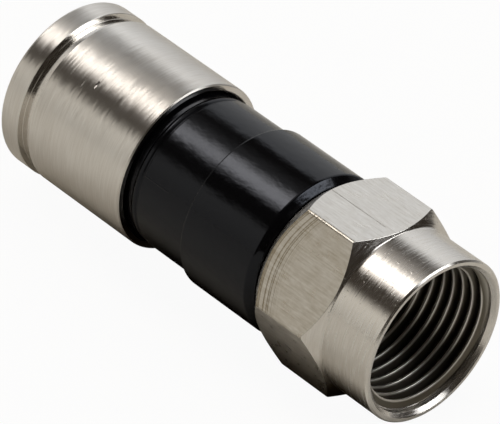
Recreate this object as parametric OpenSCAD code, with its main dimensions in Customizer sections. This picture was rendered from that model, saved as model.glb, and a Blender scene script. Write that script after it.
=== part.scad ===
// Compression F connector for coaxial cable, open and without its cable, lying on a flat of its nut.
// The axis is X and +X points to the port. The origin is the front face of the post's flange,
// the reference plane against which the port's end seats.

/* [Coupling nut] */
// Width across the hexagon's flats
across_flats = 11.1; // [11.05:0.05:11.6]
// From the reference plane to the nut's mouth
mouth_x = 6.55; // [6.0:0.05:7.5]
// Outside diameter of the round nose
nose_d = 10.85; // [10.6:0.05:10.95]
// Length of the round nose, from the mouth back to where it meets the hexagon's front chamfer
nose_len = 3.8; // [3.3:0.05:4.1]
// Radius of the hollow where the front chamfer runs into the nose
nose_fillet = 0.25; // [0.1:0.05:0.6]
// Angle of the front chamfer, from the plane of the mouth
front_chamfer_angle = 40; // [30:1:45]
// Angle of the rear chamfer, from the plane of the rear face
rear_chamfer_angle = 45; // [35:1:50]
// Diameter of the flat rear face, inside its chamfer
rear_face_d = 10.1; // [10.0:0.05:10.6]
// Chamfer round the mouth's outer edge
mouth_edge = 0.12; // [0.05:0.01:0.2]
// Chamfer round the mouth's inner edge
mouth_chamfer = 0.25; // [0.1:0.01:0.3]
// Major diameter of the 3/8-32 thread
thread_d = 9.525; // [9.4:0.005:9.6]
// Diameter of the plain counterbore in front of the thread
counterbore_d = 9.7; // [9.65:0.05:10.0]
// Depth of the counterbore, before its cone down to the thread
counterbore_depth = 0.6; // [0.4:0.05:1.5]
// Thickness of the inward lip behind the flange
lip_t = 0.8; // [0.6:0.05:1.2]
// Depth of the recess for the seal, in the rear face
recess_depth = 0.7; // [0.6:0.05:0.9]
// Diameter of the recess for the seal
recess_d = 9.5; // [9.4:0.05:9.7]

/* [Post] */
// Diameter of the flange
flange_d = 8.4; // [8.0:0.05:8.6]
// Thickness of the flange
flange_t = 1.6; // [1.2:0.1:2.2]
// Diameter of the shank that the nut turns on
shank_d = 7.0; // [6.9:0.05:7.3]
// Diameter of the seat that the body is pressed on
seat_d = 6.8; // [6.5:0.05:6.8]
// Length of the pressed seat
seat_len = 5.8; // [4:0.1:6.5]
// Lead at the rear of the seat, along the axis and half as much across it
seat_lead = 0.3; // [0.1:0.05:0.5]
// Outside diameter of the thin tube
tube_d = 5.6; // [5.4:0.05:5.8]
// Bore for the cable's dielectric
post_bore_d = 4.9; // [4.7:0.05:5.0]
// Diameter over the barbs
barb_d = 6.3; // [6.0:0.05:6.6]
// Length of one barb's cone
barb_len = 0.9; // [0.6:0.05:1.2]
// Plain tube between one barb and the next
barb_gap = 0.2; // [0.05:0.05:0.5]
// Number of barbs
barb_count = 2; // [1:1:3]
// How far the post's rear end lies inside the body's rear end
post_inset = 0.5; // [0:0.1:2]
// Chamfer on the edges of the flange and the tube's rear end
post_edge = 0.1; // [0.05:0.01:0.15]

/* [Body] */
// Height of the step from the thin length up to the thick front length, which stops the sleeve
step_h = 0.33; // [0.25:0.01:0.4]
// Length of the thick front part, its bevel included
body_front_len = 6.1; // [5:0.05:7]
// Bevel at the front of the thick length, seen in the gap behind the nut
body_bevel = 0.45; // [0.3:0.05:0.6]
// Rounding of the thick length's rear edge
step_round = 0.3; // [0.1:0.05:0.3]
// From the step to the ring groove near the sleeve's mouth
barrel_len = 4.15; // [4:0.05:4.5]
// Width of the ring groove
ring_groove_w = 0.2; // [0.1:0.02:0.3]
// Depth of the ring groove
ring_groove_depth = 0.14; // [0.1:0.02:0.2]
// Width of the ring between the groove and the sleeve's mouth
ring_w = 0.45; // [0.3:0.05:0.5]
// How far the crown of the ring stands out from the skirt
ring_h = 0.07; // [0.03:0.01:0.1]
// Wall of the skirt, which lies inside the sleeve, round the room for the cable's jacket
skirt_wall = 0.88; // [0.8:0.01:0.95]
// Length of the skirt, from the ring to the body's rear end
skirt_len = 4.75; // [4:0.01:5]
// Length of the taper at the skirt's rear end
skirt_taper_len = 1.2; // [1:0.05:1.4]
// How much the taper takes off the skirt's radius
skirt_taper_h = 0.48; // [0.4:0.01:0.55]
// Width of the bead that the sleeve's bore rides on
bead_w = 0.5; // [0.3:0.05:0.6]
// Length of the slopes beside the bead
bead_slope = 0.15; // [0.1:0.05:0.3]
// Chamfer at the rear of that room
jacket_chamfer = 0.15; // [0.05:0.05:0.25]
// Number of grip ridges inside the skirt
ridge_count = 3; // [1:1:4]
// Height of a grip ridge
ridge_h = 0.12; // [0.05:0.01:0.2]
// Width of a grip ridge at its foot
ridge_w = 0.35; // [0.2:0.05:0.5]
// Distance from one grip ridge to the next
ridge_pitch = 1.0; // [0.8:0.05:1.2]
// Diameter of the neck that carries the seal
neck_d = 7.9; // [7.7:0.05:8.0]

/* [Seal] */
// Thickness of the O-ring's cord
seal_cord_d = 0.7; // [0.5:0.05:0.7]

/* [Compression sleeve] */
// Outside diameter of the sleeve
sleeve_d = 11.26; // [11.1:0.02:11.5]
// Length of the sleeve
sleeve_len = 10.8; // [10.2:0.1:11.5]
// Wall round the bore that slides over the body
sleeve_wall = 0.45; // [0.4:0.01:0.5]
// Chamfer inside the sleeve's mouth
sleeve_mouth_chamfer = 0.06; // [0.04:0.01:0.1]
// Chamfer on the sleeve's outer front edge
sleeve_edge = 0.08; // [0.05:0.01:0.12]
// How far the sleeve's mouth stands from the body's step in the open state
open_gap = 5.25; // [5.2:0.05:5.4]
// How much smaller the cable's way in is than the skirt's rear end, on the radius
throat_step = 0.1; // [0.05:0.01:0.2]
// Chamfer at the rear of the cable entry
throat_chamfer = 0.2; // [0.1:0.05:0.3]
// How far the rear collar, behind the groove, stands out from the sleeve
collar_rise = 0.05; // [0.02:0.01:0.15]
// Length of the rear collar
collar_len = 1.65; // [1.3:0.05:1.75]
// Rounding of the collar's rear edge
collar_round = 0.3; // [0.1:0.05:0.4]
// Width of the groove in front of the collar
groove_w = 1.0; // [0.8:0.05:1.2]
// Length along the axis of the groove's steep rear wall, which the compression tool pushes on
groove_wall_w = 0.1; // [0.05:0.01:0.3]
// Depth of the groove below the sleeve's outside
groove_depth = 0.3; // [0.1:0.02:0.34]

/* [Fits] */
// Radial room between the thread's major diameter and the hole that stands for the thread
thread_clearance = 0.0375; // [0:0.0025:0.08]
// Radial room between the flange and the nut's cavity
cavity_clearance = 0.16; // [0.1:0.01:0.2]
// Radial and axial room of the turning nut
turn_clearance = 0.1; // [0.05:0.01:0.12]
// Axial gap between the nut's rear face and the body
nut_body_gap = 0.15; // [0.1:0.01:0.3]
// Radial room between the seal and the neck that it lies on
seal_clearance = 0.01; // [0.01:0.01:0.03]
// Radial room between the body's thin length and the sleeve's bore
barrel_clearance = 0.07; // [0.05:0.01:0.12]
// Radial room between the skirt and the sleeve's bore
skirt_clearance = 0.2; // [0.15:0.01:0.25]
// Radial room between the bead and the sleeve's bore
bead_clearance = 0.06; // [0.03:0.01:0.08]
// Axial gap left at the step when the sleeve is home
home_gap = 0.05; // [0.02:0.01:0.1]
// Axial gap between the sleeve's ramp and the skirt's taper when the sleeve is home
ramp_gap = 0.2; // [0.15:0.01:0.3]
// Axial distance from the ramp to the bead when the sleeve is home
bead_gap = 0.3; // [0.1:0.05:0.5]

/* [Hidden] */
$fn = 96;
// Overshoot of the cuts
eps = 0.01;
// Straight steps that an arc of a profile is drawn with
arc_steps = 8;

// Radii of the nut
corner_r = across_flats / 2 / cos(30);
nose_r = nose_d / 2;
thread_r = thread_d / 2 + thread_clearance;
counterbore_r = counterbore_d / 2;
lip_r = shank_d / 2 + turn_clearance;
cavity_r = flange_d / 2 + cavity_clearance;

// Places along the nut, from the mouth to the rear
nose_root_x = mouth_x - nose_len;
hex_front_x = nose_root_x - (corner_r - nose_r) * tan(front_chamfer_angle);
thread_front_x = mouth_x - counterbore_depth - (counterbore_r - thread_r);
lip_front_x = -flange_t - turn_clearance;
lip_rear_x = lip_front_x - lip_t;
nut_rear_x = lip_rear_x - recess_depth;
hex_rear_x = nut_rear_x + (corner_r - rear_face_d / 2) * tan(rear_chamfer_angle);

// Places along the body, from the neck to the rear
neck_front_x = lip_rear_x - turn_clearance;
body_front_x = nut_rear_x - nut_body_gap;
seat_rear_x = neck_front_x - seat_len;
step_x = body_front_x - body_front_len;
groove_x = step_x - barrel_len;
ring_front_x = groove_x - ring_groove_w;
ring_rear_x = ring_front_x - ring_w;
body_rear_x = ring_rear_x - skirt_len;
taper_x = body_rear_x + skirt_taper_len;
post_rear_x = body_rear_x + post_inset;

// Radii of the sleeve, and of the body inside it
sleeve_r = sleeve_d / 2;
collar_r = sleeve_r + collar_rise;
sleeve_bore_r = sleeve_r - sleeve_wall;
barrel_r = sleeve_bore_r - barrel_clearance;
body_r = barrel_r + step_h;
skirt_r = sleeve_bore_r - skirt_clearance;
skirt_end_r = skirt_r - skirt_taper_h;
bead_r = sleeve_bore_r - bead_clearance;
jacket_r = skirt_r - skirt_wall;
throat_r = skirt_end_r - throat_step;
seal_r = neck_d / 2 + seal_clearance + seal_cord_d / 2;

// Places along the sleeve in its open state
travel = open_gap - home_gap;
sleeve_front_x = step_x - open_gap;
sleeve_rear_x = sleeve_front_x - sleeve_len;
collar_front_x = sleeve_rear_x + collar_len;

// The ramp lies on the skirt's taper, moved back by the travel and the ramp's gap
taper_slope = skirt_taper_h / skirt_taper_len;
ramp_taper_x = taper_x - travel - ramp_gap;
ramp_front_x = ramp_taper_x + (sleeve_bore_r - skirt_r) / taper_slope;
ramp_rear_x = ramp_taper_x - (skirt_r - throat_r) / taper_slope;
bead_x = ramp_front_x + travel + bead_gap;

// Points of an arc about c, from angle a to angle b
function arc(c, r, a, b) =
    [for (i = [0:arc_steps]) let (t = a + (b - a) * i / arc_steps) c + r * [cos(t), sin(t)]];

// Turns a profile of [x, radius] points about the X axis
module turned(profile) {
    rotate([0, 90, 0])
        rotate_extrude()
            polygon([for (p = profile) [p[1], p[0]]]);
}

// A straight hole along X, from x1 forward to x2
module bore(x1, x2, d) {
    translate([x1, 0, 0])
        rotate([0, 90, 0])
            cylinder(d = d, h = x2 - x1);
}

// Hexagon bar with a flat below, from which the nut is turned
module hex_bar() {
    translate([nut_rear_x, 0, 0])
        rotate([0, 90, 0])
            rotate([0, 0, 30])
                cylinder(r = corner_r, h = mouth_x - nut_rear_x, $fn = 6);
}

// Outside that the turning leaves: rear chamfer, front chamfer, hollow and nose
module nut_outside() {
    // The front chamfer turns by this angle to run along the nose
    turn = 90 - front_chamfer_angle;
    hollow_centre = [nose_root_x + nose_fillet * tan(turn / 2), nose_r + nose_fillet];
    turned(concat(
        [
            [nut_rear_x - eps, 0],
            [nut_rear_x - eps, rear_face_d / 2],
            [nut_rear_x, rear_face_d / 2],
            [hex_rear_x, corner_r],
            [hex_rear_x, corner_r + 1],
            [hex_front_x, corner_r + 1],
            [hex_front_x, corner_r]
        ],
        arc(hollow_centre, nose_fillet, 270 - turn, 270),
        [
            [mouth_x - mouth_edge, nose_r],
            [mouth_x, nose_r - mouth_edge],
            [mouth_x + eps, nose_r - mouth_edge],
            [mouth_x + eps, 0]
        ]
    ));
}

// Everything that is bored out of the nut, from the seal's recess to the counterbore
module nut_inside() {
    turned([
        [nut_rear_x - eps, 0],
        [nut_rear_x - eps, recess_d / 2],
        [lip_rear_x, recess_d / 2],
        [lip_rear_x, lip_r],
        [lip_front_x, lip_r],
        [lip_front_x, cavity_r],
        [0, cavity_r],
        [0, thread_r],
        [thread_front_x, thread_r],
        [mouth_x - counterbore_depth, counterbore_r],
        [mouth_x - mouth_chamfer, counterbore_r],
        [mouth_x, counterbore_r + mouth_chamfer],
        [mouth_x + eps, counterbore_r + mouth_chamfer],
        [mouth_x + eps, 0]
    ]);
}

module coupling_nut() {
    color("#b9b5ad")
        difference() {
            intersection() {
                hex_bar();
                nut_outside();
            }
            nut_inside();
        }
}

// Profile of the barbs: each cone opens from the rear to a sharp shoulder in front
function barb_points() = [
    for (i = [0:barb_count - 1])
        let (x = post_rear_x + post_edge + i * (barb_len + barb_gap))
            each [[x, tube_d / 2], [x + barb_len, barb_d / 2], [x + barb_len, tube_d / 2]]
];

module post() {
    color("#c9c2b0")
        difference() {
            turned(concat(
                [[post_rear_x, 0], [post_rear_x, tube_d / 2 - post_edge]],
                barb_points(),
                [
                    [seat_rear_x, tube_d / 2],
                    [seat_rear_x, (seat_d - seat_lead) / 2],
                    [seat_rear_x + seat_lead, seat_d / 2],
                    [neck_front_x, seat_d / 2],
                    [neck_front_x, shank_d / 2],
                    [-flange_t, shank_d / 2],
                    [-flange_t, flange_d / 2],
                    [-post_edge, flange_d / 2],
                    [0, flange_d / 2 - post_edge],
                    [0, 0]
                ]
            ));
            bore(post_rear_x - eps, eps, post_bore_d);
        }
}

// Profile of the body's outside, from its rear end to its neck
function body_outside() = concat(
    [
        [body_rear_x, skirt_end_r],
        [taper_x, skirt_r],
        [bead_x - bead_slope, skirt_r],
        [bead_x, bead_r],
        [bead_x + bead_w, bead_r],
        [bead_x + bead_w + bead_slope, skirt_r],
    ],
    // The ring's crown is a shallow arc that stands on the skirt
    let (
        r = (pow(ring_w / 2, 2) + pow(ring_h, 2)) / (2 * ring_h),
        half = asin(ring_w / 2 / r)
    )
    arc([ring_rear_x + ring_w / 2, skirt_r + ring_h - r], r, 90 + half, 90 - half),
    [
        [ring_front_x + ring_groove_w / 2, barrel_r - ring_groove_depth],
        [groove_x, barrel_r],
        [step_x, barrel_r]
    ],
    arc([step_x + step_round, body_r - step_round], step_round, 180, 90),
    [
        [body_front_x - body_bevel, body_r],
        [body_front_x, body_r - body_bevel],
        [body_front_x, neck_d / 2],
        [neck_front_x, neck_d / 2]
    ]
);

// Grip ridges round the inside of the skirt, with their steep side in front
module grip_ridges() {
    for (i = [0:ridge_count - 1]) {
        x = body_rear_x + ridge_pitch / 2 + i * ridge_pitch;
        turned([
            [x, jacket_r + eps],
            [x + ridge_w * 0.7, jacket_r - ridge_h],
            [x + ridge_w, jacket_r + eps]
        ]);
    }
}

module body() {
    color("#1b1b1d") {
        difference() {
            turned(concat([[body_rear_x, 0]], body_outside(), [[neck_front_x, 0]]));
            bore(seat_rear_x - eps, neck_front_x + eps, seat_d);
            // Room for the jacket, with a cone at its front that leads to the seat
            turned([
                [body_rear_x - eps, 0],
                [body_rear_x - eps, jacket_r + jacket_chamfer],
                [body_rear_x, jacket_r + jacket_chamfer],
                [body_rear_x + jacket_chamfer, jacket_r],
                [seat_rear_x - (jacket_r - seat_d / 2), jacket_r],
                [seat_rear_x, seat_d / 2],
                [seat_rear_x, 0]
            ]);
        }
        grip_ridges();
    }
}

module o_ring() {
    color("#101010")
        translate([(body_front_x + neck_front_x) / 2, 0, 0])
            rotate([0, 90, 0])
                rotate_extrude()
                    translate([seal_r, 0])
                        circle(d = seal_cord_d);
}

// Profile of the sleeve's outside, from the collar's rear edge to the mouth
function sleeve_outside() = concat(
    arc([sleeve_rear_x + collar_round, collar_r - collar_round], collar_round, 180, 90),
    [
        [collar_front_x, collar_r],
        // Deepest just in front of the collar, the groove then slopes up to the sleeve's outside
        [collar_front_x + groove_wall_w, sleeve_r - groove_depth],
        [collar_front_x + groove_w, sleeve_r],
        [sleeve_front_x - sleeve_edge, sleeve_r],
        [sleeve_front_x, sleeve_r - sleeve_edge]
    ]
);

module compression_sleeve() {
    color("#b4b0a8")
        difference() {
            turned(concat([[sleeve_rear_x, 0]], sleeve_outside(), [[sleeve_front_x, 0]]));
            turned([
                [sleeve_rear_x - eps, 0],
                [sleeve_rear_x - eps, throat_r + throat_chamfer],
                [sleeve_rear_x, throat_r + throat_chamfer],
                [sleeve_rear_x + throat_chamfer, throat_r],
                [ramp_rear_x, throat_r],
                [ramp_front_x, sleeve_bore_r],
                [sleeve_front_x - sleeve_mouth_chamfer, sleeve_bore_r],
                [sleeve_front_x, sleeve_bore_r + sleeve_mouth_chamfer],
                [sleeve_front_x + eps, sleeve_bore_r + sleeve_mouth_chamfer],
                [sleeve_front_x + eps, 0]
            ]);
        }
}

coupling_nut();
post();
body();
o_ring();
compression_sleeve();
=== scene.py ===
import math

import bpy
import numpy as np
from mathutils import Matrix, Vector


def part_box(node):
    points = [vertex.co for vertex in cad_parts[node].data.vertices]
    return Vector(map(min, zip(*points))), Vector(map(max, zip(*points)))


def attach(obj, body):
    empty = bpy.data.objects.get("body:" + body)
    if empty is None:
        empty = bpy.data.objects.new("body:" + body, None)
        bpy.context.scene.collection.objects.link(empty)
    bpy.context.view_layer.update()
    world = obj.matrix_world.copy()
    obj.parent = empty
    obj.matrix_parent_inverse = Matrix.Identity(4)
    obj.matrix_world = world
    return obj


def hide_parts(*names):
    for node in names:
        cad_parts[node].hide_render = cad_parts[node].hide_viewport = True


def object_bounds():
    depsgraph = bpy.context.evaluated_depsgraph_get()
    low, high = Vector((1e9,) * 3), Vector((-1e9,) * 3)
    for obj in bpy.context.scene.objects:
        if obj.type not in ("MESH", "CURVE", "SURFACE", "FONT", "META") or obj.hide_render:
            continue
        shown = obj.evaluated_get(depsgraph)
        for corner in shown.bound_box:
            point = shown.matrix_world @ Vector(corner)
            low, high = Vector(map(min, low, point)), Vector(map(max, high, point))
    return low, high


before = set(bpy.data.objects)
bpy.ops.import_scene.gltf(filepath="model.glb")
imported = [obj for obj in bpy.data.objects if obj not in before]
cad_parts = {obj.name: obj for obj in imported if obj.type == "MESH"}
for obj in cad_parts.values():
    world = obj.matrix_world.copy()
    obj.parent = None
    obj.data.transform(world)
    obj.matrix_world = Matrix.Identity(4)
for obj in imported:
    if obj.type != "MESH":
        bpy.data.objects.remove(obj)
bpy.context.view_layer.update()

# The looks of a compression F connector: a nickel-plated nut with a true thread, a black plastic body, a
# satin nickel sleeve, the post that holds them together and its rubber seal. The axis is X, lengths are in
# millimetres until a mesh is made, and angles about the axis run from +Y towards +Z. Named angles are in
# degrees, but those of the hexagon, the grooves' lean and the hatching are in radians.

MM = 0.001
quarter_turn = 90


def span(node):
    """Lowest x, highest x, largest radius along Y and height along Z of a CAD node, in millimetres."""
    low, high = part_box(node)
    return low.x / MM, high.x / MM, high.y / MM, (high.z - low.z) / MM


# Places and sizes that the frame gives
nut_rear, mouth, _, across_flats = span("coupling_nut")
post_rear, reference_plane, flange_r, _ = span("post")
body_rear, neck_front, body_r, _ = span("body")
sleeve_rear, sleeve_front, collar_r, _ = span("compression_sleeve")
seal_rear, seal_front, seal_outer_r, _ = span("o_ring")
floor_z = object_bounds()[0][2]

# Nut
flat_r = across_flats / 2
nose_r = 5.425
nose_root = mouth - 3.8
nose_hollow = 0.25
mouth_edge = 0.12
mouth_chamfer = 0.25
front_slope = math.tan(math.radians(40))
rear_slope = math.tan(math.radians(45))
rear_face_r = 5.05
rear_face_round = 0.06
counterbore_r = 4.85
counterbore_end = mouth - 0.6
thread_wall_r = 4.8
cavity_r = 4.36
lip_bore_r = 3.6
lip_front = reference_plane - 1.7
lip_rear = lip_front - 0.8
recess_r = 4.75
hex_corner_round = 0.26

# Thread, 3/8-32
thread_pitch = 25.4 / 32
thread_minor_r = 4.37
thread_crest = 0.12
thread_foot = thread_pitch - 0.1
thread_start = reference_plane + 0.34
thread_end = counterbore_end + 0.1

# Body
body_front = nut_rear - 0.15
body_bevel = 0.45
bevel_front_round = 0.08
bevel_rear_round = 0.25
step = body_front - 6.1
step_round = 0.3
step_foot_round = 0.06
barrel_r = 5.11
barrel_edge = 0.1
ring_groove_front = step - 4.15
ring_groove_w = 0.2
ring_groove_depth = 0.14
skirt_r = 4.98
ring_front = ring_groove_front - ring_groove_w
ring_rear = ring_front - 0.45
ring_h = 0.07
crown_steps = 8
skirt_end_r = 4.5
skirt_taper = 1.2
skirt_round = 0.1
bead_rear = body_rear + 1.8
bead_w = 0.5
bead_slope = 0.15
bead_r = 5.12
neck_r = 3.95
seat_r = 3.4
seat_rear = neck_front - 5.8
jacket_r = 4.1
jacket_chamfer = 0.15
ridge_places = (0.5, 1.5, 2.5)
ridge_w = 0.35
ridge_lead = 0.7
ridge_h = 0.12

# Post
post_bore_r = 2.45
tube_r = 2.8
shank_r = 3.5
flange_rear = reference_plane - 1.6
seat_lead = 0.3
barb_r = 3.15
barb_len = 0.9
barb_step = 1.1
post_edge = 0.1

# Sleeve
sleeve_r = 5.63
sleeve_bore_r = 5.18
sleeve_mouth_chamfer = 0.06
sleeve_edge = 0.08
throat_r = 4.4
throat_chamfer = 0.2
ramp_rear = sleeve_rear + 0.85
ramp_front = sleeve_rear + 2.8
ramp_round = 0.2
collar_front = sleeve_rear + 1.65
collar_round = 0.3
groove_w = 1.0
groove_wall_w = 0.1
groove_front_round = 0.12
groove_depth = 0.3

# Radii of the other rounded corners
hairline = 0.02
fine_round = 0.03
edge_round = 0.04
soft_round = 0.05

# Camera, fitted to the photo
camera_aim = (-9.158, -0.039, -0.020)
camera_distance = 303.6
camera_azimuth = 42.056
camera_elevation = 33.619
camera_roll = 8.93
camera_lens = 367.4
camera_sensor = 36
camera_near = 0.01


def direction(azimuth, elevation):
    """Unit vector towards a camera at that azimuth, counted from -Y towards +X, and that elevation."""
    a, e = math.radians(azimuth), math.radians(elevation)
    return Vector((math.sin(a) * math.cos(e), -math.cos(a) * math.cos(e), math.sin(e)))


def make_camera():
    """A long lens at the photo's angle. The roll turns the picture about the line of sight."""
    a, roll = math.radians(camera_azimuth), math.radians(camera_roll)
    back = direction(camera_azimuth, camera_elevation)
    level = Vector((math.cos(a), math.sin(a), 0))
    upright = back.cross(level)
    right = math.cos(roll) * level + math.sin(roll) * upright
    up = math.cos(roll) * upright - math.sin(roll) * level
    data = bpy.data.cameras.new("camera")
    data.sensor_fit = "HORIZONTAL"
    data.sensor_width = camera_sensor
    data.lens = camera_lens
    data.clip_start = camera_near
    camera = bpy.data.objects.new("camera", data)
    turn = Matrix((right, up, back)).transposed().to_4x4()
    place = (Vector(camera_aim) + camera_distance * back) * MM
    camera.matrix_world = Matrix.Translation(place) @ turn
    bpy.context.scene.collection.objects.link(camera)
    bpy.context.scene.camera = camera


# Studio

def linear(hex_colour):
    """sRGB hex to linear RGBA, by the curve of that standard: v / 12.92 for a small v, and otherwise
    (v + 0.055) / 1.055 to the power of 2.4."""
    srgb = np.array([int(hex_colour[i:i + 2], 16) for i in (1, 3, 5)]) / 255
    rgb = np.where(srgb <= 0.04045, srgb / 12.92, ((srgb + 0.055) / 1.055) ** 2.4)
    return (*rgb.tolist(), 1.0)


def add(tree, kind, inputs=(), **settings):
    """Adds a node. Settings are its properties. Inputs give a socket, by number or name, its value or link.
    On a Map Range node 0 is the value, 1 and 2 are its range and 3 and 4 what they become. On a Mix node 0
    is the share and 6 and 7 are the colours."""
    node = tree.nodes.new(kind)
    for name, value in settings.items():
        setattr(node, name, value)
    for socket, value in dict(inputs).items():
        if isinstance(value, bpy.types.NodeSocket):
            tree.links.new(value, node.inputs[socket])
        else:
            node.inputs[socket].default_value = value
    return node


# Lamps: the direction each is seen in, the direction of its long side, and tangents of half its size
lamp_place = (-0.558, -0.187, 0.809)
lamp_level = (0, 0.974, 0.225)
lamp_wide = (0.02, 0.29)
lamp_deep = (0.05, 0.16)
lamp_light = 6.1
lamp_colour = "#fffaf5"
side_lamp_place = (0.552, 0.401, 0.731)
side_lamp_level = (-0.355, 0.904, -0.234)
side_lamp_wide = (0.28, 0.45)
side_lamp_high = (0.15, 0.185)
side_lamp_light = 5.0
side_lamp_colour = "#fbfdff"

# Tent of light, the dark opening in it with its glow, and the room past it
front_light = 0.56
front_colour = "#fffaf0"
back_light = 0.62
back_colour = "#fdfeff"
light_with_height = 0.62
gap_light = 0.05
glow_light = 0.85
glow_colour = "#fffaf4"
room_light = 0.035
dark_colour = "#ffead4"

# Where each part is missing and where it is full: by Y or X of the direction seen, or by turn in degrees
back_by_y = (-0.35, 0.35)
room_by_x = (-0.1, 0.35)
gap_by_x = (-0.97, -0.9)
gap_opens = (45, 58)
gap_closes = (153, 138)
glow_starts = (62, 97)
glow_stops = (116, 104)
least_ahead = 0.02


def lit(hex_colour, level):
    """A light's colour in linear RGBA, as bright as its level."""
    return (*(level * v for v in linear(hex_colour)[:3]), 1.0)


def light_box(tree, ray, place, level, wide, high):
    """1 in a box of light and 0 outside. The box is seen towards place and lies level along level. Wide and
    high give where its edge starts to fade and where it ends, as tangents of the angle from its middle."""
    middle, level = Vector(place).normalized(), Vector(level).normalized()
    ahead, across, up = (
        add(tree, "ShaderNodeVectorMath", {0: ray, 1: v}, operation="DOT_PRODUCT").outputs["Value"]
        for v in (middle, level, middle.cross(level)))
    ahead = add(tree, "ShaderNodeMath", {0: ahead, 1: least_ahead}, operation="MAXIMUM").outputs[0]
    share = 1.0
    for value, (full, none) in ((across, wide), (up, high)):
        value = add(tree, "ShaderNodeMath", {0: value, 1: ahead}, operation="DIVIDE").outputs[0]
        value = add(tree, "ShaderNodeMath", {0: value}, operation="ABSOLUTE").outputs[0]
        fade = add(tree, "ShaderNodeMapRange", {0: value, 1: full, 2: none, 3: 1.0, 4: 0.0},
                   interpolation_type="SMOOTHSTEP").outputs[0]
        share = add(tree, "ShaderNodeMath", {0: fade, 1: share}, operation="MULTIPLY").outputs[0]
    return share


def make_world():
    """A tent of light round three sides, cooler at the back, warmer in front and brighter with height. A
    dark opening runs along its top, from one turn about the connector's axis to another, with a lamp in it
    and a soft glow on the lamp's near side. The room past the tent, towards +X, is dark but for a second
    lamp. The camera sees plain white."""
    world = bpy.data.worlds.new("studio")
    bpy.context.scene.world = world
    world.use_nodes = True
    tree = world.node_tree
    tree.nodes.clear()
    ray = add(tree, "ShaderNodeTexCoord").outputs["Generated"]
    axes = add(tree, "ShaderNodeSeparateXYZ", {0: ray}).outputs
    turn = add(tree, "ShaderNodeMath", {0: axes["Z"], 1: axes["Y"]}, operation="ARCTAN2").outputs[0]
    turn = add(tree, "ShaderNodeMath", {0: turn}, operation="DEGREES").outputs[0]
    back, room, opens, closes, glow, glow_ends, ends = (
        add(tree, "ShaderNodeMapRange", {0: value, 1: none, 2: full},
            interpolation_type="SMOOTHSTEP").outputs[0]
        for value, (none, full) in (
            (axes["Y"], back_by_y), (axes["X"], room_by_x), (turn, gap_opens), (turn, gap_closes),
            (turn, glow_starts), (turn, glow_stops), (axes["X"], gap_by_x)))
    glow = add(tree, "ShaderNodeMath", {0: glow, 1: glow_ends}, operation="MULTIPLY").outputs[0]
    gap = add(tree, "ShaderNodeMath", {0: opens, 1: closes}, operation="MULTIPLY").outputs[0]
    gap = add(tree, "ShaderNodeMath", {0: gap, 1: ends}, operation="MULTIPLY").outputs[0]
    tent = add(tree, "ShaderNodeMix", {0: back, 6: lit(front_colour, front_light),
                                       7: lit(back_colour, back_light)}, data_type="RGBA").outputs[2]
    height = add(tree, "ShaderNodeMath", {0: axes["Z"], 1: 0.0}, operation="MAXIMUM").outputs[0]
    height = add(tree, "ShaderNodeMath", {0: height, 1: light_with_height / front_light, 2: 1.0},
                 operation="MULTIPLY_ADD").outputs[0]
    tent = add(tree, "ShaderNodeVectorMath", {0: tent, "Scale": height}, operation="SCALE").outputs[0]
    opening = add(tree, "ShaderNodeMix", {0: glow, 6: lit(dark_colour, gap_light),
                                          7: lit(glow_colour, glow_light)}, data_type="RGBA").outputs[2]
    tent = add(tree, "ShaderNodeMix", {0: gap, 6: tent, 7: opening}, data_type="RGBA").outputs[2]
    light = add(tree, "ShaderNodeMix", {0: room, 6: tent, 7: lit(dark_colour, room_light)},
                data_type="RGBA").outputs[2]
    for place, level, wide, high, colour in (
        (lamp_place, lamp_level, lamp_wide, lamp_deep, lit(lamp_colour, lamp_light)),
        (side_lamp_place, side_lamp_level, side_lamp_wide, side_lamp_high,
         lit(side_lamp_colour, side_lamp_light)),
    ):
        box = light_box(tree, ray, place, level, wide, high)
        box = add(tree, "ShaderNodeVectorMath", {0: colour[:3], "Scale": box}, operation="SCALE").outputs[0]
        light = add(tree, "ShaderNodeVectorMath", {0: light, 1: box}, operation="ADD").outputs[0]
    seen = add(tree, "ShaderNodeLightPath").outputs["Is Camera Ray"]
    light = add(tree, "ShaderNodeMix", {0: seen, 6: light, 7: linear("#ffffff")},
                data_type="RGBA").outputs[2]
    shade = add(tree, "ShaderNodeBackground", {"Color": light, "Strength": 1.0})
    add(tree, "ShaderNodeOutputWorld", {0: shade.outputs[0]})


# The table, with painted shade under the connector. The shade's edges fade from the first place to the second
floor_half = 1.5
floor_share_seen = 0.95
paper_colour = "#f6f2e9"
floor_shade_colour = "#3a2f1e"
floor_shade_rear_x = (-24.0, -12.0)
floor_shade_front_x = (8.5, 4.5)
floor_shade_side_y = (7.4, 3.0)


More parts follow.
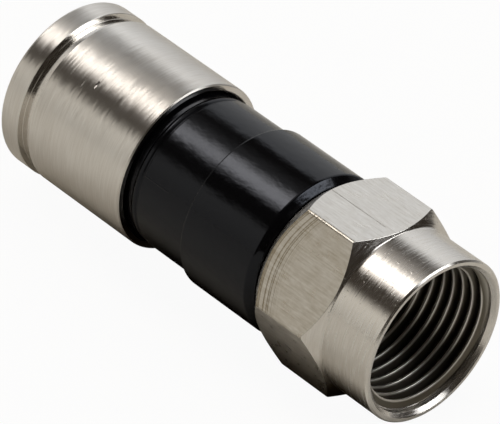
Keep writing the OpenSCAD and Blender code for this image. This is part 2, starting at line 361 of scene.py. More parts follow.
def make_floor():
    """A warm white paper table with a soft-edged dark strip under the connector: painted shade, standing in
    for the contact shadow that the metal mirrors. The camera sees the table almost evenly white. The rest of
    its light is the studio's, so it keeps the object's shadow."""
    h = floor_half
    corners = [(-h, -h, floor_z), (h, -h, floor_z), (h, h, floor_z), (-h, h, floor_z)]
    mesh = bpy.data.meshes.new("floor")
    mesh.from_pydata(corners, [], [(0, 1, 2, 3)])
    floor = bpy.data.objects.new("floor", mesh)
    bpy.context.scene.collection.objects.link(floor)
    material = bpy.data.materials.new("white_paper_with_painted_shade")
    material.use_nodes = True
    tree = material.node_tree
    tree.nodes.clear()
    place = add(tree, "ShaderNodeTexCoord").outputs["Object"]
    place = add(tree, "ShaderNodeSeparateXYZ", {0: place}).outputs
    aside = add(tree, "ShaderNodeMath", {0: place["Y"]}, operation="ABSOLUTE").outputs[0]
    # The dark strip under the connector is painted shade, a stand-in for its contact shadow, which the metal
    # mirrors
    floor_shade = 1.0
    for value, (none, full) in ((place["X"], floor_shade_rear_x), (place["X"], floor_shade_front_x),
                                (aside, floor_shade_side_y)):
        edge = add(tree, "ShaderNodeMapRange", {0: value, 1: none * MM, 2: full * MM},
                   interpolation_type="SMOOTHSTEP").outputs[0]
        floor_shade = add(tree, "ShaderNodeMath", {0: edge, 1: floor_shade}, operation="MULTIPLY").outputs[0]
    colour = add(tree, "ShaderNodeMix", {0: floor_shade, 6: linear(paper_colour), 7: linear(floor_shade_colour)},
                 data_type="RGBA").outputs[2]
    paper = add(tree, "ShaderNodeBsdfDiffuse", {"Color": colour})
    white = add(tree, "ShaderNodeEmission", {"Color": linear("#ffffff")})
    camera = add(tree, "ShaderNodeLightPath").outputs["Is Camera Ray"]
    seen = add(tree, "ShaderNodeMath", {0: camera, 1: floor_share_seen}, operation="MULTIPLY").outputs[0]
    mix = add(tree, "ShaderNodeMixShader", {0: seen, 1: paper.outputs[0], 2: white.outputs[0]})
    add(tree, "ShaderNodeOutputMaterial", {0: mix.outputs[0]})
    mesh.materials.append(material)


# Shapes

least_length = 1e-12


def unit(vectors):
    """Vectors scaled to length one along the last axis: v / |v|."""
    return vectors / np.maximum(np.linalg.norm(vectors, axis=-1, keepdims=True), least_length)


# Rounded corners: points for each, the share of a side that one may take, and its guard points' distance.
# The least values keep very small corners and turns finite
corner_rows = 9
corner_reach = 0.42
corner_guard = 0.03
least_guard = 0.002
least_round = 1e-4
least_sine = 1e-9


def rounded(corners):
    """A closed outline from ((x, r), radius) corners, or from arrays of them for many outlines at once. Each
    corner is turned along a circle that touches both of its sides: centre + radius * slerp(first normal,
    last normal). A guard point before and after each arc keeps the sides' shading flat. Every corner gives
    corner_rows points, or one where its radius is 0."""
    shape = np.broadcast_shapes(*(np.shape(p[0]) for p, _ in corners), *(np.shape(p[1]) for p, _ in corners))
    points = np.stack([np.stack(np.broadcast_arrays(*p), -1) * np.ones((*shape, 1)) for p, _ in corners], -2)
    radii = np.array([r for _, r in corners], float)
    to_prev = np.roll(points, 1, axis=-2) - points
    to_next = np.roll(points, -1, axis=-2) - points
    shorter = np.minimum(np.linalg.norm(to_prev, axis=-1), np.linalg.norm(to_next, axis=-1))
    reach = shorter * corner_reach
    u, v = unit(to_prev), unit(to_next)
    half = np.arccos(np.clip((u * v).sum(-1), -1, 1)) / 2
    tangent = np.minimum(np.maximum(radii, least_round) / np.tan(half), reach)
    r = (tangent * np.tan(half))[..., None]
    centre = points + unit(u + v) * r / np.sin(half)[..., None]
    first = (points + u * tangent[..., None] - centre) / r
    last = (points + v * tangent[..., None] - centre) / r
    turn = (np.pi - 2 * half)[..., None, None]
    k = np.linspace(0, 1, corner_rows - 2)[:, None]
    blend = np.sin((1 - k) * turn) * first[..., None, :] + np.sin(k * turn) * last[..., None, :]
    arcs = centre[..., None, :] + r[..., None] * blend / np.maximum(np.sin(turn), least_sine)
    guard = np.minimum(corner_guard, (reach - tangent) * 0.5 + least_guard)[..., None]
    before = (arcs[..., 0, :] + u * guard)[..., None, :]
    after = (arcs[..., -1, :] + v * guard)[..., None, :]
    rows = np.concatenate([before, arcs, after], axis=-2)
    sharp = (radii == 0)[:, None]
    rows = np.where(sharp[..., None], points[..., None, :], rows)
    keep = ~sharp | (np.arange(corner_rows) == corner_rows // 2)
    return rows.reshape(*shape, -1, 2)[..., keep.ravel(), :]


def arc(centre, radius, start, end, steps):
    """Points on a circle in the outline's plane, from one angle to the other, in degrees."""
    t = np.radians(np.linspace(start, end, steps + 1))
    return np.stack([centre[0] + radius * np.cos(t), centre[1] + radius * np.sin(t)], -1)


def add_mesh(name, points, faces, uv=None):
    """A smooth-shaded mesh object from points in millimetres."""
    mesh = bpy.data.meshes.new(name)
    mesh.from_pydata((points.reshape(-1, 3) * MM).tolist(), [], faces)
    if uv is not None:
        mesh.uv_layers.new(name="along").data.foreach_set("uv", uv.astype(np.float32).ravel())
    mesh.polygons.foreach_set("use_smooth", np.ones(len(mesh.polygons), bool))
    mesh.validate()
    thing = bpy.data.objects.new(name, mesh)
    bpy.context.scene.collection.objects.link(thing)
    return thing


def ring_object(name, points):
    """A mesh over points (columns, rows, 3) in millimetres, closed round the columns and round the rows. Its
    UV map runs along the outline in u and about the axis in v, so that the shading's tangent follows the
    outline."""
    columns, rows = points.shape[:2]
    index = np.arange(columns * rows).reshape(columns, rows)
    right = np.roll(index, -1, 0)
    quads = np.stack([index, np.roll(index, -1, 1), np.roll(right, -1, 1), right], -1).reshape(-1, 4)
    u0, v0 = np.meshgrid(np.arange(rows) / rows, np.arange(columns) / columns)
    u1, v1 = u0 + 1 / rows, v0 + 1 / columns
    uv = np.stack([np.stack(corner, -1) for corner in ((u0, v0), (u1, v0), (u1, v1), (u0, v1))], 2)
    return add_mesh(name, points, quads.tolist(), uv)


def about_axis(outline, angles):
    """Points (x, r cos a, r sin a): the outline (rows, 2), or one outline for each angle, carried round the
    X axis."""
    outline = np.broadcast_to(outline, (len(angles), *np.shape(outline)[-2:]))
    a = angles[:, None]
    x, r = outline[..., 0], outline[..., 1]
    return np.stack([x, r * np.cos(a), r * np.sin(a)], -1)


def full_turn(columns):
    """Even angles about the axis, in radians."""
    return np.arange(columns) * 2 * np.pi / columns


# Corners of the sleeve's outline where the smooth-cut finish starts, counted from 0
sleeve_rim_corner = 5
sleeve_groove_corner = 8


def sleeve_outline():
    """Bore with its ramp and chamfers forward, then the outside with groove and collar back."""
    return rounded([
        ((sleeve_rear, throat_r + throat_chamfer), fine_round),
        ((sleeve_rear + throat_chamfer, throat_r), edge_round),
        ((ramp_rear, throat_r), ramp_round),
        ((ramp_front, sleeve_bore_r), ramp_round),
        ((sleeve_front - sleeve_mouth_chamfer, sleeve_bore_r), hairline),
        ((sleeve_front, sleeve_bore_r + sleeve_mouth_chamfer), hairline),
        ((sleeve_front, sleeve_r - sleeve_edge), fine_round),
        ((sleeve_front - sleeve_edge, sleeve_r), edge_round),
        ((collar_front + groove_w, sleeve_r), groove_front_round),
        ((collar_front + groove_wall_w, sleeve_r - groove_depth), fine_round),
        ((collar_front, collar_r), edge_round),
        ((sleeve_rear, collar_r), collar_round),
    ])


def body_outline():
    """Inside from the rear forward, with the grip ridges and the pressed seat, then neck, thick length and
    barrel back to the skirt. The ring on the skirt is an arc that stands ring_h proud, and its circle's
    radius is (w^2 / 4 + h^2) / 2h."""
    half = (ring_front - ring_rear) / 2
    crown_r = (half ** 2 + ring_h ** 2) / (2 * ring_h)
    lean = math.degrees(math.asin(half / crown_r))
    crown_centre = ((ring_front + ring_rear) / 2, skirt_r + ring_h - crown_r)
    crown = arc(crown_centre, crown_r, quarter_turn - lean, quarter_turn + lean, crown_steps)
    ridges = []
    for place in ridge_places:
        x = body_rear + place
        ridges += [
            ((x, jacket_r), hairline),
            ((x + ridge_lead * ridge_w, jacket_r - ridge_h), hairline),
            ((x + ridge_w, jacket_r), hairline),
        ]
    return rounded([
        ((body_rear, jacket_r + jacket_chamfer), fine_round),
        ((body_rear + jacket_chamfer, jacket_r), fine_round),
        *ridges,
        ((seat_rear - (jacket_r - seat_r), jacket_r), soft_round),
        ((seat_rear, seat_r), hairline),
        ((neck_front, seat_r), hairline),
        ((neck_front, neck_r), edge_round),
        ((body_front, neck_r), soft_round),
        ((body_front, body_r - body_bevel), bevel_front_round),
        ((body_front - body_bevel, body_r), bevel_rear_round),
        ((step, body_r), step_round),
        ((step, barrel_r), step_foot_round),
        ((ring_groove_front, barrel_r), barrel_edge),
        ((ring_groove_front - ring_groove_w / 2, barrel_r - ring_groove_depth), fine_round),
        ((ring_front, skirt_r), fine_round),
        *((p, 0) for p in crown[1:-1]),
        ((ring_rear, skirt_r), fine_round),
        ((bead_rear + bead_w + bead_slope, skirt_r), soft_round),
        ((bead_rear + bead_w, bead_r), soft_round),
        ((bead_rear, bead_r), soft_round),
        ((bead_rear - bead_slope, skirt_r), soft_round),
        ((body_rear + skirt_taper, skirt_r), skirt_round),
        ((body_rear, skirt_end_r), soft_round),
    ])


def post_outline():
    """Bore forward, then flange, shank, pressed seat and the tube with its barbs back."""
    barbs = []
    for place in (1, 0):
        x = post_rear + post_edge + place * barb_step
        barbs += [
            ((x + barb_len, tube_r), hairline),
            ((x + barb_len, barb_r), fine_round),
            ((x, tube_r), fine_round),
        ]
    return rounded([
        ((post_rear, post_bore_r), edge_round),
        ((reference_plane, post_bore_r), soft_round),
        ((reference_plane, flange_r - post_edge), edge_round),
        ((reference_plane - post_edge, flange_r), edge_round),
        ((flange_rear, flange_r), edge_round),
        ((flange_rear, shank_r), soft_round),
        ((neck_front, shank_r), hairline),
        ((neck_front, seat_r), hairline),
        ((seat_rear + seat_lead, seat_r), soft_round),
        ((seat_rear, seat_r - seat_lead / 2), edge_round),
        ((seat_rear, tube_r), soft_round),
        *barbs,
        ((post_rear, tube_r - post_edge), edge_round),
    ])


# The hexagon, in radians: half the turn of one side, and the turn from a flat's middle to where its corner's
# round starts. A flat and a corner take so many columns of points, and guard columns keep the flat's shading
hex_sides = 6
half_side = math.pi / hex_sides
hex_corner_edge = math.atan((flat_r - hex_corner_round) * math.tan(half_side) / flat_r)
flat_columns = 32
corner_columns = 11
hex_guard = 0.004


def nut_angles():
    """Angles about the axis, close together at the six rounded corners. Flats face 30, 90, 150 degrees and
    so on."""
    flat = np.linspace(-hex_corner_edge, hex_corner_edge, flat_columns)
    guard = np.array([-hex_corner_edge + hex_guard, hex_corner_edge - hex_guard])
    corner = np.linspace(hex_corner_edge, 2 * half_side - hex_corner_edge, corner_columns)[1:-1]
    sector = np.sort(np.concatenate([flat, guard, corner]))
    return (half_side + full_turn(hex_sides)[:, None] + sector).ravel()


def hexagon_radius(angles):
    """Distance from the axis to a hexagon with rounded corners. On a flat it is flat_r / cos(a), with a from
    the flat's middle. At a corner it is that of a circle of hex_corner_round that touches both flats."""
    a = np.abs((angles % (2 * half_side)) - half_side)
    centre = (flat_r - hex_corner_round) / math.cos(half_side)
    d = half_side - a
    over = np.maximum(hex_corner_round ** 2 - (centre * np.sin(d)) ** 2, 0)
    on_corner = centre * np.cos(d) + np.sqrt(over)
    return np.where(a > hex_corner_edge, on_corner, flat_r / np.cos(a))


# Corners of the nut's outline where a finish starts or ends, counted from 0. A point on the front chamfer, at
# that share of its height, keeps its shading even
nut_thread_corner = 6
nut_root_corner = 13
nut_flat_corner = 15
front_cone_middle = 0.45


def nut_outline(h):
    """One outline for each hexagon radius h: recess, lip, cavity, thread's wall and counterbore forward,
    then nose, front chamfer, flat and rear chamfer back. The chamfers are cones, so they meet the flat at
    x = nose_root - (h - nose_r) tan 40 and x = nut_rear + (h - rear_face_r) tan 45."""
    above = h - nose_r
    return rounded([
        ((nut_rear, recess_r), fine_round),
        ((lip_rear, recess_r), soft_round),
        ((lip_rear, lip_bore_r), edge_round),
        ((lip_front, lip_bore_r), edge_round),
        ((lip_front, cavity_r), edge_round),
        ((reference_plane, cavity_r), hairline),
        ((reference_plane, thread_wall_r), hairline),
        ((counterbore_end - (counterbore_r - thread_wall_r), thread_wall_r), hairline),
        ((counterbore_end, counterbore_r), fine_round),
        ((mouth - mouth_chamfer, counterbore_r), soft_round),
        ((mouth, counterbore_r + mouth_chamfer), edge_round),
        ((mouth, nose_r - mouth_edge), edge_round),
        ((mouth - mouth_edge, nose_r), soft_round),
        ((nose_root, nose_r), nose_hollow),
        ((nose_root - front_cone_middle * above * front_slope, nose_r + front_cone_middle * above), 0),
        ((nose_root - above * front_slope, h), soft_round),
        ((nut_rear + (h - rear_face_r) * rear_slope, h), soft_round),
        ((nut_rear, rear_face_r), rear_face_round),
    ])


# The ridge: how it rises and falls in turns, its width where it rises, and how it sits in the wall
thread_columns = 128
thread_rise = 0.35
thread_fall = 0.15
thread_tip_w = 0.3
least_rise = 0.001
thread_sunk = 0.06
thread_spread = 0.03
thread_foot_gap = 0.01

# Its last turns: their number, the turns over which the cut deepens, and the front half's width there
last_turns = 1.2
last_turns_fade = 0.3
last_flank = 0.65


def thread_ridge():
    """A ridge of trapezoid section carried along a right-handed helix: x = start + pitch * a / 2 pi. Its
    section has a base sunk in the wall, flanks of about 60 degrees and a narrow round crest. It rises from
    nothing at each end. The counterbore has cut the last turn's front flank steep: there the section's
    front half is narrower."""
    base_r = thread_wall_r + thread_sunk
    section = rounded([
        ((-thread_foot / 2 - thread_spread, base_r), 0),
        ((thread_foot / 2 + thread_spread, base_r), 0),
        ((thread_foot / 2, thread_wall_r - thread_foot_gap), 0),
        ((thread_crest / 2, thread_minor_r), edge_round),
        ((-thread_crest / 2, thread_minor_r), edge_round),
        ((-thread_foot / 2, thread_wall_r - thread_foot_gap), 0),
    ])
    turns = (thread_end - thread_start) / thread_pitch
    t = np.linspace(0, turns, int(turns * thread_columns))[:, None]
    rise = np.clip(np.minimum(t / thread_rise, (turns - t) / thread_fall), least_rise, 1)
    rise = rise * rise * (3 - 2 * rise)
    cut = np.clip((t - (turns - last_turns)) / last_turns_fade, 0, 1)
    front = np.where(section[:, 0] > 0, 1 - (1 - last_flank) * cut, 1)
    width = front * (thread_tip_w + (1 - thread_tip_w) * rise)
    x = thread_start + thread_pitch * t + section[:, 0] * width
    r = base_r - (base_r - section[:, 1]) * np.maximum(rise, least_rise)
    a = 2 * np.pi * t
    return np.stack([x, r * np.cos(a), r * np.sin(a)], -1)


def tube_object(name, points):
    """A closed tube over points (columns, rows, 3) in millimetres: each end section is filled with one
    face."""
    columns, rows = points.shape[:2]
    index = np.arange(columns * rows).reshape(columns, rows)
    a, b = index[:-1], index[1:]
    quads = np.stack([a, np.roll(a, -1, 1), np.roll(b, -1, 1), b], -1).reshape(-1, 4)
    return add_mesh(name, points, quads.tolist() + [index[0][::-1].tolist(), index[-1].tolist()])


# Materials. A pattern's waves are per millimetre along X, Y and Z. Its noise runs from 0 to 1, mostly
# between the first two of these values, and more often still between the last two
noise_low = 0.3
noise_high = 0.7
noise_lowest = 0.25
noise_highest = 0.75


def new_material(name, inputs):
    """A material with its Principled shader's single values set. Returns it, its tree and the shader."""
    material = bpy.data.materials.new(name)
    material.use_nodes = True
    shader = material.node_tree.nodes["Principled BSDF"]
    for socket, value in inputs.items():
        shader.inputs[socket].default_value = value
    return material, material.node_tree, shader


def streaks(tree, waves, detail, turn=(0, 0, 0)):
    """Noise in object coordinates with its own number of waves per millimetre along X, Y and Z."""
    place = add(tree, "ShaderNodeTexCoord").outputs["Object"]
    mapping = add(tree, "ShaderNodeMapping", {0: place, "Rotation": turn, "Scale": [w / MM for w in waves]})
    noise = add(tree, "ShaderNodeTexNoise", {"Vector": mapping.outputs[0], "Scale": 1.0, "Detail": detail})
    return noise.outputs["Fac"]


def bumped(tree, shader, normal, heights):
    """Adds (pattern, height in millimetres) pairs up to one relief and bends the shader's normal with it."""
    height = 0.0
    for value, share in heights:
        height = add(tree, "ShaderNodeMath", {0: value, 1: share, 2: height},
                     operation="MULTIPLY_ADD").outputs[0]
    relief = {"Height": height, "Strength": 1.0, "Distance": MM}
    if normal is not None:
        relief["Normal"] = normal
    bump = add(tree, "ShaderNodeBump", relief)
    tree.links.new(bump.outputs[0], shader.inputs["Normal"])


def turned_grooves(tree, shader, lines, lean):
    """Turning leaves grooves about the axis. Highlights spread across them, along the outline, and each
    short length of groove leans a little to one side, up to lean radians, which frays the highlights' edges
    like a comb."""
    along = add(tree, "ShaderNodeTangent", direction_type="UV_MAP", uv_map="along").outputs[0]
    tree.links.new(along, shader.inputs["Tangent"])
    normal = add(tree, "ShaderNodeNewGeometry").outputs["Normal"]
    round_axis = add(tree, "ShaderNodeVectorMath", {0: along, 1: normal},
                     operation="CROSS_PRODUCT").outputs[0]
    tilt = add(tree, "ShaderNodeMapRange", {0: lines, 1: noise_lowest, 2: noise_highest, 3: -lean, 4: lean})
    tilt = add(tree, "ShaderNodeVectorMath", {0: round_axis, "Scale": tilt.outputs[0]}, operation="SCALE")
    normal = add(tree, "ShaderNodeVectorMath", {0: normal, 1: tilt.outputs[0]}, operation="ADD").outputs[0]
    return add(tree, "ShaderNodeVectorMath", {0: normal}, operation="NORMALIZE").outputs[0]


def nicks(tree, places, length, width):
    """1 at each of the places, in millimetres, and 0 past an ellipsoid round it. The ellipsoid reaches width
    along X and length across it."""
    point = add(tree, "ShaderNodeTexCoord").outputs["Object"]
    stretch = Vector((1 / width, 1 / length, 1 / length)) / MM
    total = 0.0
    for place in places:
        centre = [-v * MM * s for v, s in zip(place, stretch)]
        gap = add(tree, "ShaderNodeVectorMath", {0: point, 1: stretch, 2: centre},
                  operation="MULTIPLY_ADD").outputs[0]
        gap = add(tree, "ShaderNodeVectorMath", {0: gap}, operation="LENGTH").outputs["Value"]
        spot = add(tree, "ShaderNodeMapRange", {0: gap, 1: 0.0, 2: 1.0, 3: 1.0, 4: 0.0}).outputs[0]
        total = add(tree, "ShaderNodeMath", {0: total, 1: spot}, operation="ADD").outputs[0]
    return total


line_end_fade = 0.1


def line_along(tree, side, offset, start, end, width):
    """1 on a line that runs along X, offset millimetres out in the direction side, from start to end, and 0
    from width away."""
    point = add(tree, "ShaderNodeTexCoord").outputs["Object"]
    gap = add(tree, "ShaderNodeVectorMath", {0: point, 1: side}, operation="DOT_PRODUCT").outputs["Value"]
    gap = add(tree, "ShaderNodeMath", {0: gap, 1: offset * MM}, operation="SUBTRACT").outputs[0]
    gap = add(tree, "ShaderNodeMath", {0: gap}, operation="ABSOLUTE").outputs[0]
    x = add(tree, "ShaderNodeSeparateXYZ", {0: point}).outputs["X"]
    share = 1.0
    for value, none, full in ((gap, width, 0.0), (x, start - line_end_fade, start + line_end_fade),
                              (x, end + line_end_fade, end - line_end_fade)):
        fade = add(tree, "ShaderNodeMapRange", {0: value, 1: none * MM, 2: full * MM}).outputs[0]
        share = add(tree, "ShaderNodeMath", {0: fade, 1: share}, operation="MULTIPLY").outputs[0]
    return share


def on_cylinder(x, r, angle):
    """The point at x, radius r and an angle in degrees about the axis."""
    a = math.radians(angle)
    return (x, r * math.cos(a), r * math.sin(a))


# The sleeve's grooves, the haze that varies their gloss and the plating's broad clouds. A turning tool's
# grooves lie some hundredths of a millimetre apart, too fine to show, so all of them are drawn coarser
sleeve_waves = (13, 0.6, 0.6)
haze_waves = (7, 1.0, 1.0)
cloud_waves = (0.25, 0.25, 0.25)
groove_relief = 0.0004

# How smooth and how rough the sleeve is, how far its light spreads, its darkest and palest tint, the range
# that grooves and clouds together have, and the lean of its grooves
sleeve_smooth = 0.3
sleeve_rough = 0.4
sleeve_spread = 0.93
sleeve_dark = "#d4cfc8"
sleeve_pale = "#e2dfda"
sleeve_range = (0.7, 1.3)
sleeve_lean = 0.05

# Places of the sleeve's two nicks, as x and angle, and their size
sleeve_nicks = ((-20.6, 134), (-19.7, 129.6))
nick_length = 0.28
nick_width = 0.09
nick_depth = 0.035


def satin_sleeve_nickel():
    """Satin nickel plating over turned brass: a warm grey metal with fine grooves about the axis, 13 to the
    millimetre, and two small nicks."""
    material, tree, shader = new_material("satin_nickel_turned", {
        "Metallic": 1.0, "Anisotropic": sleeve_spread})
    lines = streaks(tree, sleeve_waves, detail=2.0)
    haze = streaks(tree, haze_waves, detail=2.0)
    cloud = streaks(tree, cloud_waves, detail=2.0)
    rough = add(tree, "ShaderNodeMapRange", {0: haze, 1: noise_lowest, 2: noise_highest,
                                             3: sleeve_smooth, 4: sleeve_rough})
    tree.links.new(rough.outputs[0], shader.inputs["Roughness"])
    tint = add(tree, "ShaderNodeMath", {0: lines, 1: cloud}, operation="ADD").outputs[0]
    tint = add(tree, "ShaderNodeMapRange", {0: tint, 1: sleeve_range[0], 2: sleeve_range[1]}).outputs[0]
    tint = add(tree, "ShaderNodeMix", {0: tint, 6: linear(sleeve_dark), 7: linear(sleeve_pale)},
               data_type="RGBA")
    tree.links.new(tint.outputs[2], shader.inputs["Base Color"])
    places = [on_cylinder(x, sleeve_r, angle) for x, angle in sleeve_nicks]
    dents = nicks(tree, places, nick_length, nick_width)
    normal = turned_grooves(tree, shader, lines, sleeve_lean)
    bumped(tree, shader, normal, ((lines, groove_relief), (dents, -nick_depth)))
    return material


# Nut and post: their grooves, how much smoother and rougher than usual a groove gets, its tints and lean
turned_waves = (13, 0.7, 0.7)
smoother = 0.04
rougher = 0.05
turned_dark = "#cfcac3"
turned_pale = "#dcd9d4"
turned_lean = 0.02

# Dust: only the noise's peaks, from where a speck starts to where it is full
dust_waves = (6, 6, 6)
dust_peaks = (0.67, 0.74)
dust_height = 0.003


def turned_nickel(name, roughness, spread):
    """Bright nickel plating over turned brass, with fine grooves about the axis, 13 to the millimetre, and a
    few specks of dust a sixth of a millimetre across. Spread is how far the grooves draw the light out."""
    material, tree, shader = new_material(name, {"Metallic": 1.0, "Anisotropic": spread})
    lines = streaks(tree, turned_waves, detail=2.0)
    dust = streaks(tree, dust_waves, detail=1.0)
    dust = add(tree, "ShaderNodeMapRange", {0: dust, 1: dust_peaks[0], 2: dust_peaks[1]}).outputs[0]
    rough = add(tree, "ShaderNodeMapRange", {0: lines, 1: noise_low, 2: noise_high,
                                             3: roughness - smoother, 4: roughness + rougher})
    tree.links.new(rough.outputs[0], shader.inputs["Roughness"])
    tint = add(tree, "ShaderNodeMapRange", {0: lines, 1: noise_low, 2: noise_high}).outputs[0]
    tint = add(tree, "ShaderNodeMix", {0: tint, 6: linear(turned_dark), 7: linear(turned_pale)},
               data_type="RGBA")
    tree.links.new(tint.outputs[2], shader.inputs["Base Color"])
    normal = turned_grooves(tree, shader, lines, turned_lean)
    bumped(tree, shader, normal, ((lines, groove_relief), (dust, dust_height)))
    return material


# Marks on the flats: drawing lines, deep scratches, slanting hatching and mottling. Drawing leaves lines
# some hundredths of a millimetre apart, too fine to show, so they are drawn coarser, 9 to the millimetre
drawn_waves = (0.2, 9, 9)
deep_waves = (0.06, 4, 4)
deep_peaks = (0.68, 0.74)
hatch_waves = (1.5, 7, 7)
hatch_turn = (0.6, 0.6, 0.6)
mottle_waves = (1.4, 1.4, 1.4)
arc_peaks = (0.5, 0.6)

# How smooth and how rough a flat is, its darkest and palest tint, and the range that all its marks have
flat_smooth = 0.26
flat_rough = 0.36
flat_dark = "#8f8470"
flat_pale = "#f0eeea"
flat_range = (-0.3, 1.9)

# The angle that the darker flat faces, and how far below its plane its darker, browner tone starts and is
# full
darker_flat = 150
darker_from = 0.12
darker_full = 0.04

# The turning tool's arcs: how far from the rear chamfer's edge they reach, in how many waves, and between
# which shares of that reach they fade
arcs_reach = 2
arcs_waves = 16.0
arcs_fade = (0.4, 0.9)

# The long scratch on the top flat. The bottom flat, which isn't seen, carries it too
scratch_y = -0.55
scratch_rear = -2.6
scratch_front = 1.9
scratch_width = 0.045


def drawn_flat_nickel():
    """Nickel plating over drawn hexagon bar: an even grey with fine lengthwise drawing marks, a few deeper
    scratches and faint hatching from handling. One flat is darker and browner all over, and carries the
    turning tool's arcs beside its rear chamfer: lines of even x - r, as that chamfer's edge is one."""
    material, tree, shader = new_material("nickel_drawn_hexagon_flats", {"Metallic": 1.0})
    drawn = streaks(tree, drawn_waves, detail=4.0)
    deep = streaks(tree, deep_waves, detail=1.0)
    deep = add(tree, "ShaderNodeMapRange", {0: deep, 1: deep_peaks[0], 2: deep_peaks[1]}).outputs[0]
    hatch = streaks(tree, hatch_waves, detail=3.0, turn=hatch_turn)
    mottle = streaks(tree, mottle_waves, detail=3.0)
    point = add(tree, "ShaderNodeTexCoord").outputs["Object"]
    flat = add(tree, "ShaderNodeVectorMath", {0: point, 1: (0, 1, 1)}, operation="MULTIPLY").outputs[0]
    radius = add(tree, "ShaderNodeVectorMath", {0: flat}, operation="LENGTH").outputs["Value"]
    along = add(tree, "ShaderNodeSeparateXYZ", {0: point}).outputs["X"]
    inset = add(tree, "ShaderNodeMath", {0: along, 1: radius}, operation="SUBTRACT").outputs[0]
    inset = add(tree, "ShaderNodeMapRange", {0: inset, 1: (nut_rear - rear_face_r) * MM,
                                             2: (nut_rear - rear_face_r + arcs_reach) * MM}).outputs[0]
    arcs = add(tree, "ShaderNodeTexNoise", {"W": inset, "Scale": arcs_waves, "Detail": 1.0},
               noise_dimensions="1D")
    arcs = add(tree, "ShaderNodeMapRange", {0: arcs.outputs["Fac"],
                                            1: arc_peaks[0], 2: arc_peaks[1]}).outputs[0]
    near = add(tree, "ShaderNodeMapRange", {0: inset, 1: arcs_fade[0], 2: arcs_fade[1], 3: 1.0, 4: 0.0})
    arcs = add(tree, "ShaderNodeMath", {0: arcs, 1: near.outputs[0]}, operation="MULTIPLY").outputs[0]
    scratch = line_along(tree, (0, 1, 0), scratch_y, scratch_rear, scratch_front, scratch_width)
    # One flat, at 150 degrees, is darker and browner all over, and only it carries the arcs
    outward = on_cylinder(0, 1, darker_flat)
    flat_darkening = add(tree, "ShaderNodeVectorMath", {0: point, 1: outward}, operation="DOT_PRODUCT")
    flat_darkening = add(tree, "ShaderNodeMapRange", {0: flat_darkening.outputs["Value"], 1: (flat_r - darker_from) * MM,
                                            2: (flat_r - darker_full) * MM}).outputs[0]
    arcs = add(tree, "ShaderNodeMath", {0: arcs, 1: flat_darkening}, operation="MULTIPLY").outputs[0]
    rough = add(tree, "ShaderNodeMapRange", {0: mottle, 1: noise_low, 2: noise_high,
                                             3: flat_smooth, 4: flat_rough})
    tree.links.new(rough.outputs[0], shader.inputs["Roughness"])
    tint = 0.0
    for mark, paler in ((drawn, 0.9), (hatch, 0.9), (mottle, 0.8), (arcs, -0.75), (flat_darkening, -0.75),
                        (scratch, -0.5), (deep, -0.2)):
        tint = add(tree, "ShaderNodeMath", {0: mark, 1: paler, 2: tint},
                   operation="MULTIPLY_ADD").outputs[0]
    tint = add(tree, "ShaderNodeMapRange", {0: tint, 1: flat_range[0], 2: flat_range[1]}).outputs[0]
    tint = add(tree, "ShaderNodeMix", {0: tint, 6: linear(flat_dark), 7: linear(flat_pale)},
               data_type="RGBA")
    tree.links.new(tint.outputs[2], shader.inputs["Base Color"])
    bumped(tree, shader, None, ((drawn, 0.003), (hatch, 0.006), (deep, -0.001), (arcs, -0.01),
                                (scratch, -0.008)))
    return material


# Painted shade in the thread: how far out from its crest it stays unshaded, and from where its flanks and
# roots are painted dark. Its end in the counterbore is painted brighter towards the mouth: how far in from
# the mouth it stays unshaded, and from where it is painted dark
unshaded_out_to = 0.02
shaded_out_from = 0.12
unshaded_in_to = 0.2
shaded_in_from = 0.5
unshaded_thread_colour = "#dcd8d1"
painted_thread_shade_colour = "#5f5a50"


def thread_nickel_with_painted_shade(name, roughness):
    """Nickel plating inside the thread, with painted shade: its flanks and roots are painted dull and dark,
    and so is all that lies deeper in the bore, so that the crests and the ridge's end towards the mouth stay
    bright."""
    material, tree, shader = new_material(name, {"Metallic": 1.0, "Roughness": roughness})
    point = add(tree, "ShaderNodeTexCoord").outputs["Object"]
    flat = add(tree, "ShaderNodeVectorMath", {0: point, 1: (0, 1, 1)}, operation="MULTIPLY").outputs[0]
    radius = add(tree, "ShaderNodeVectorMath", {0: flat}, operation="LENGTH").outputs["Value"]
    depth = add(tree, "ShaderNodeMapRange", {0: radius, 1: (thread_minor_r + unshaded_out_to) * MM,
                                             2: (thread_minor_r + shaded_out_from) * MM}).outputs[0]
    x = add(tree, "ShaderNodeSeparateXYZ", {0: point}).outputs["X"]
    inside = add(tree, "ShaderNodeMapRange", {0: x, 1: (mouth - unshaded_in_to) * MM,
                                              2: (mouth - shaded_in_from) * MM})
    # Painted shade: dark in the thread's roots and deeper in the bore
    painted_shade = add(tree, "ShaderNodeMath", {0: depth, 1: inside.outputs[0]}, operation="MULTIPLY").outputs[0]
    tint = add(tree, "ShaderNodeMix", {0: painted_shade, 6: linear(unshaded_thread_colour), 7: linear(painted_thread_shade_colour)},
               data_type="RGBA")
    tree.links.new(tint.outputs[2], shader.inputs["Base Color"])
    return material


# The plastic's swell, ripple and grain. A mould's grain is too fine to show, so it is drawn coarser, a sixth
# of a millimetre wide
swell_waves = (0.8, 1.2, 1.2)
ripple_waves = (1.6, 2.6, 2.6)
plastic_grain_waves = (6, 6, 6)

# Its gloss: how smooth and how rough it is, the barrel's share in that beside the grain's, the range that
# both have, and how far to each side of the step the barrel's gloss fades
plastic_smooth = 0.09
plastic_rough = 0.19
barrel_share = 0.5
gloss_range = (0.3, 1.2)
gloss_edge = 0.1

# The mould's parting line: its angle about the axis, with its other half opposite, its width, and how far
# before the step it stops
parting_angle = 160
parting_width = 0.05
parting_stop = 2


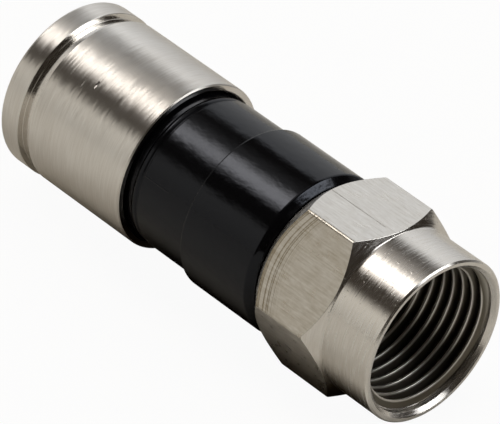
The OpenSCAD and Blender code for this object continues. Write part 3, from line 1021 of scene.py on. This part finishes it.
def black_plastic():
    """Moulded black acetal: deep black with a clean gloss, duller on the barrel, and a faint unevenness that
    bends the highlight. The mould's parting line runs along the barrel."""
    material, tree, shader = new_material("moulded_black_acetal", {
        "Base Color": linear("#08080a"), "IOR": 1.48, "Specular IOR Level": 0.28,
        "Specular Tint": linear("#eaf0ff")})
    swell = streaks(tree, swell_waves, detail=3.0)
    ripple = streaks(tree, ripple_waves, detail=2.0)
    grain = streaks(tree, plastic_grain_waves, detail=2.0)
    side = on_cylinder(0, 1, parting_angle + quarter_turn)
    parting = line_along(tree, side, 0, ring_groove_front, step - parting_stop, parting_width)
    x = add(tree, "ShaderNodeTexCoord").outputs["Object"]
    x = add(tree, "ShaderNodeSeparateXYZ", {0: x}).outputs["X"]
    barrel = add(tree, "ShaderNodeMapRange", {0: x, 1: (step + gloss_edge) * MM,
                                              2: (step - gloss_edge) * MM})
    rough = add(tree, "ShaderNodeMath", {0: barrel.outputs[0], 1: barrel_share, 2: grain},
                operation="MULTIPLY_ADD").outputs[0]
    rough = add(tree, "ShaderNodeMapRange", {0: rough, 1: gloss_range[0], 2: gloss_range[1],
                                             3: plastic_smooth, 4: plastic_rough}).outputs[0]
    tree.links.new(rough, shader.inputs["Roughness"])
    bumped(tree, shader, None, ((swell, 0.022), (ripple, 0.004), (grain, 0.0008), (parting, 0.016)))
    return material


# Rubber's grain is too fine to show, so it is drawn coarser, a fifth of a millimetre wide
rubber_grain_waves = (5, 5, 5)
rubber_grain_height = 0.01


def rubber():
    """Black nitrile rubber, moulded: matt, faintly grey where it catches the light, with a fine grain."""
    material, tree, shader = new_material("black_nitrile_rubber", {
        "Base Color": linear("#161616"), "Roughness": 0.55})
    grain = streaks(tree, rubber_grain_waves, detail=3.0)
    bumped(tree, shader, None, ((grain, rubber_grain_height),))
    return material


# The object. Columns of points about the axis, and steps round the seal's section
sleeve_columns = 288
body_columns = 256
post_columns = 160
seal_columns = 128
seal_steps = 20

make_camera()
make_world()
make_floor()

angles = nut_angles()
nut_points = about_axis(nut_outline(hexagon_radius(angles)), angles)
nut = ring_object("nut_shell", nut_points)
thread = tube_object("nut_thread", thread_ridge())
sleeve_points = about_axis(sleeve_outline(), full_turn(sleeve_columns))
sleeve = ring_object("sleeve_shell", sleeve_points)
body = ring_object("body_moulding", about_axis(body_outline(), full_turn(body_columns)))
post = ring_object("post_tube", about_axis(post_outline(), full_turn(post_columns)))
seal_cord_r = (seal_front - seal_rear) / 2
seal_centre = ((seal_rear + seal_front) / 2, seal_outer_r - seal_cord_r)
seal_outline = arc(seal_centre, seal_cord_r, 0, 4 * quarter_turn, seal_steps)[:-1]
seal = ring_object("seal_ring", about_axis(seal_outline, full_turn(seal_columns)))

# The nut's rows: turned all over, drawn on the flats, with painted shade in the thread and behind it, smooth
# on the front chamfer from the end of the hollow's arc. The corner before the flat's is a single row, as its
# radius is 0
for finish in (
    turned_nickel("nickel_plated_turned_nut", roughness=0.24, spread=0.88),
    drawn_flat_nickel(),
    thread_nickel_with_painted_shade("nickel_with_painted_shade_in_the_bore", roughness=0.42),
    turned_nickel("nickel_smooth_cut_nut", roughness=0.17, spread=0.3),
):
    nut.data.materials.append(finish)
row = np.tile(np.arange(nut_points.shape[1]), nut_points.shape[0])
middle_row = corner_rows // 2
flat_start = corner_rows * (nut_flat_corner - 1) + 1 + middle_row
thread_stop = corner_rows * (nut_thread_corner + 1) + middle_row
cone_start = corner_rows * (nut_root_corner + 1) - 2
on_flat = (row >= flat_start) & (row < flat_start + corner_rows)
on_cone = (row >= cone_start) & (row < flat_start)
finish_index = np.select([on_flat, row < thread_stop, on_cone], [1, 2, 3], 0).astype(np.int32)
nut.data.polygons.foreach_set("material_index", finish_index)

# The sleeve's groove and its front rim were cut last, so they are smoother than the rest
sleeve.data.materials.append(satin_sleeve_nickel())
sleeve.data.materials.append(turned_nickel("nickel_smooth_cut_sleeve", roughness=0.14, spread=0.3))
row = np.tile(np.arange(sleeve_points.shape[1]), sleeve_points.shape[0])
groove_start = corner_rows * sleeve_groove_corner + middle_row
smooth = (row >= groove_start) & (row < groove_start + 2 * corner_rows)
rim_start = corner_rows * sleeve_rim_corner
smooth |= (row >= rim_start) & (row < rim_start + corner_rows + middle_row)
sleeve.data.polygons.foreach_set("material_index", smooth.astype(np.int32))

# The thread's ridge carries painted shade in its roots
for thing, finish in (
    (thread, thread_nickel_with_painted_shade("nickel_with_painted_shade_in_the_thread", roughness=0.3)),
    (body, black_plastic()),
    (post, turned_nickel("nickel_plated_turned_post", roughness=0.25, spread=0.6)),
    (seal, rubber()),
):
    thing.data.materials.append(finish)

for thing, cad_body, slot in (
    (nut, "nut", "nickel_nut"),
    (thread, "nut", "nickel_nut"),
    (sleeve, "sleeve", "nickel_sleeve"),
    (body, "body", "black_plastic"),
    (post, "body", "nickel_post"),
    (seal, "body", "black_rubber"),
):
    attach(thing, cad_body)
for thing, node in (
    (nut, "coupling_nut"),
    (sleeve, "compression_sleeve"),
    (body, "body"),
    (post, "post"),
    (seal, "o_ring"),
):
    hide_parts(node)

bpy.context.scene.view_settings.view_transform = "Standard"
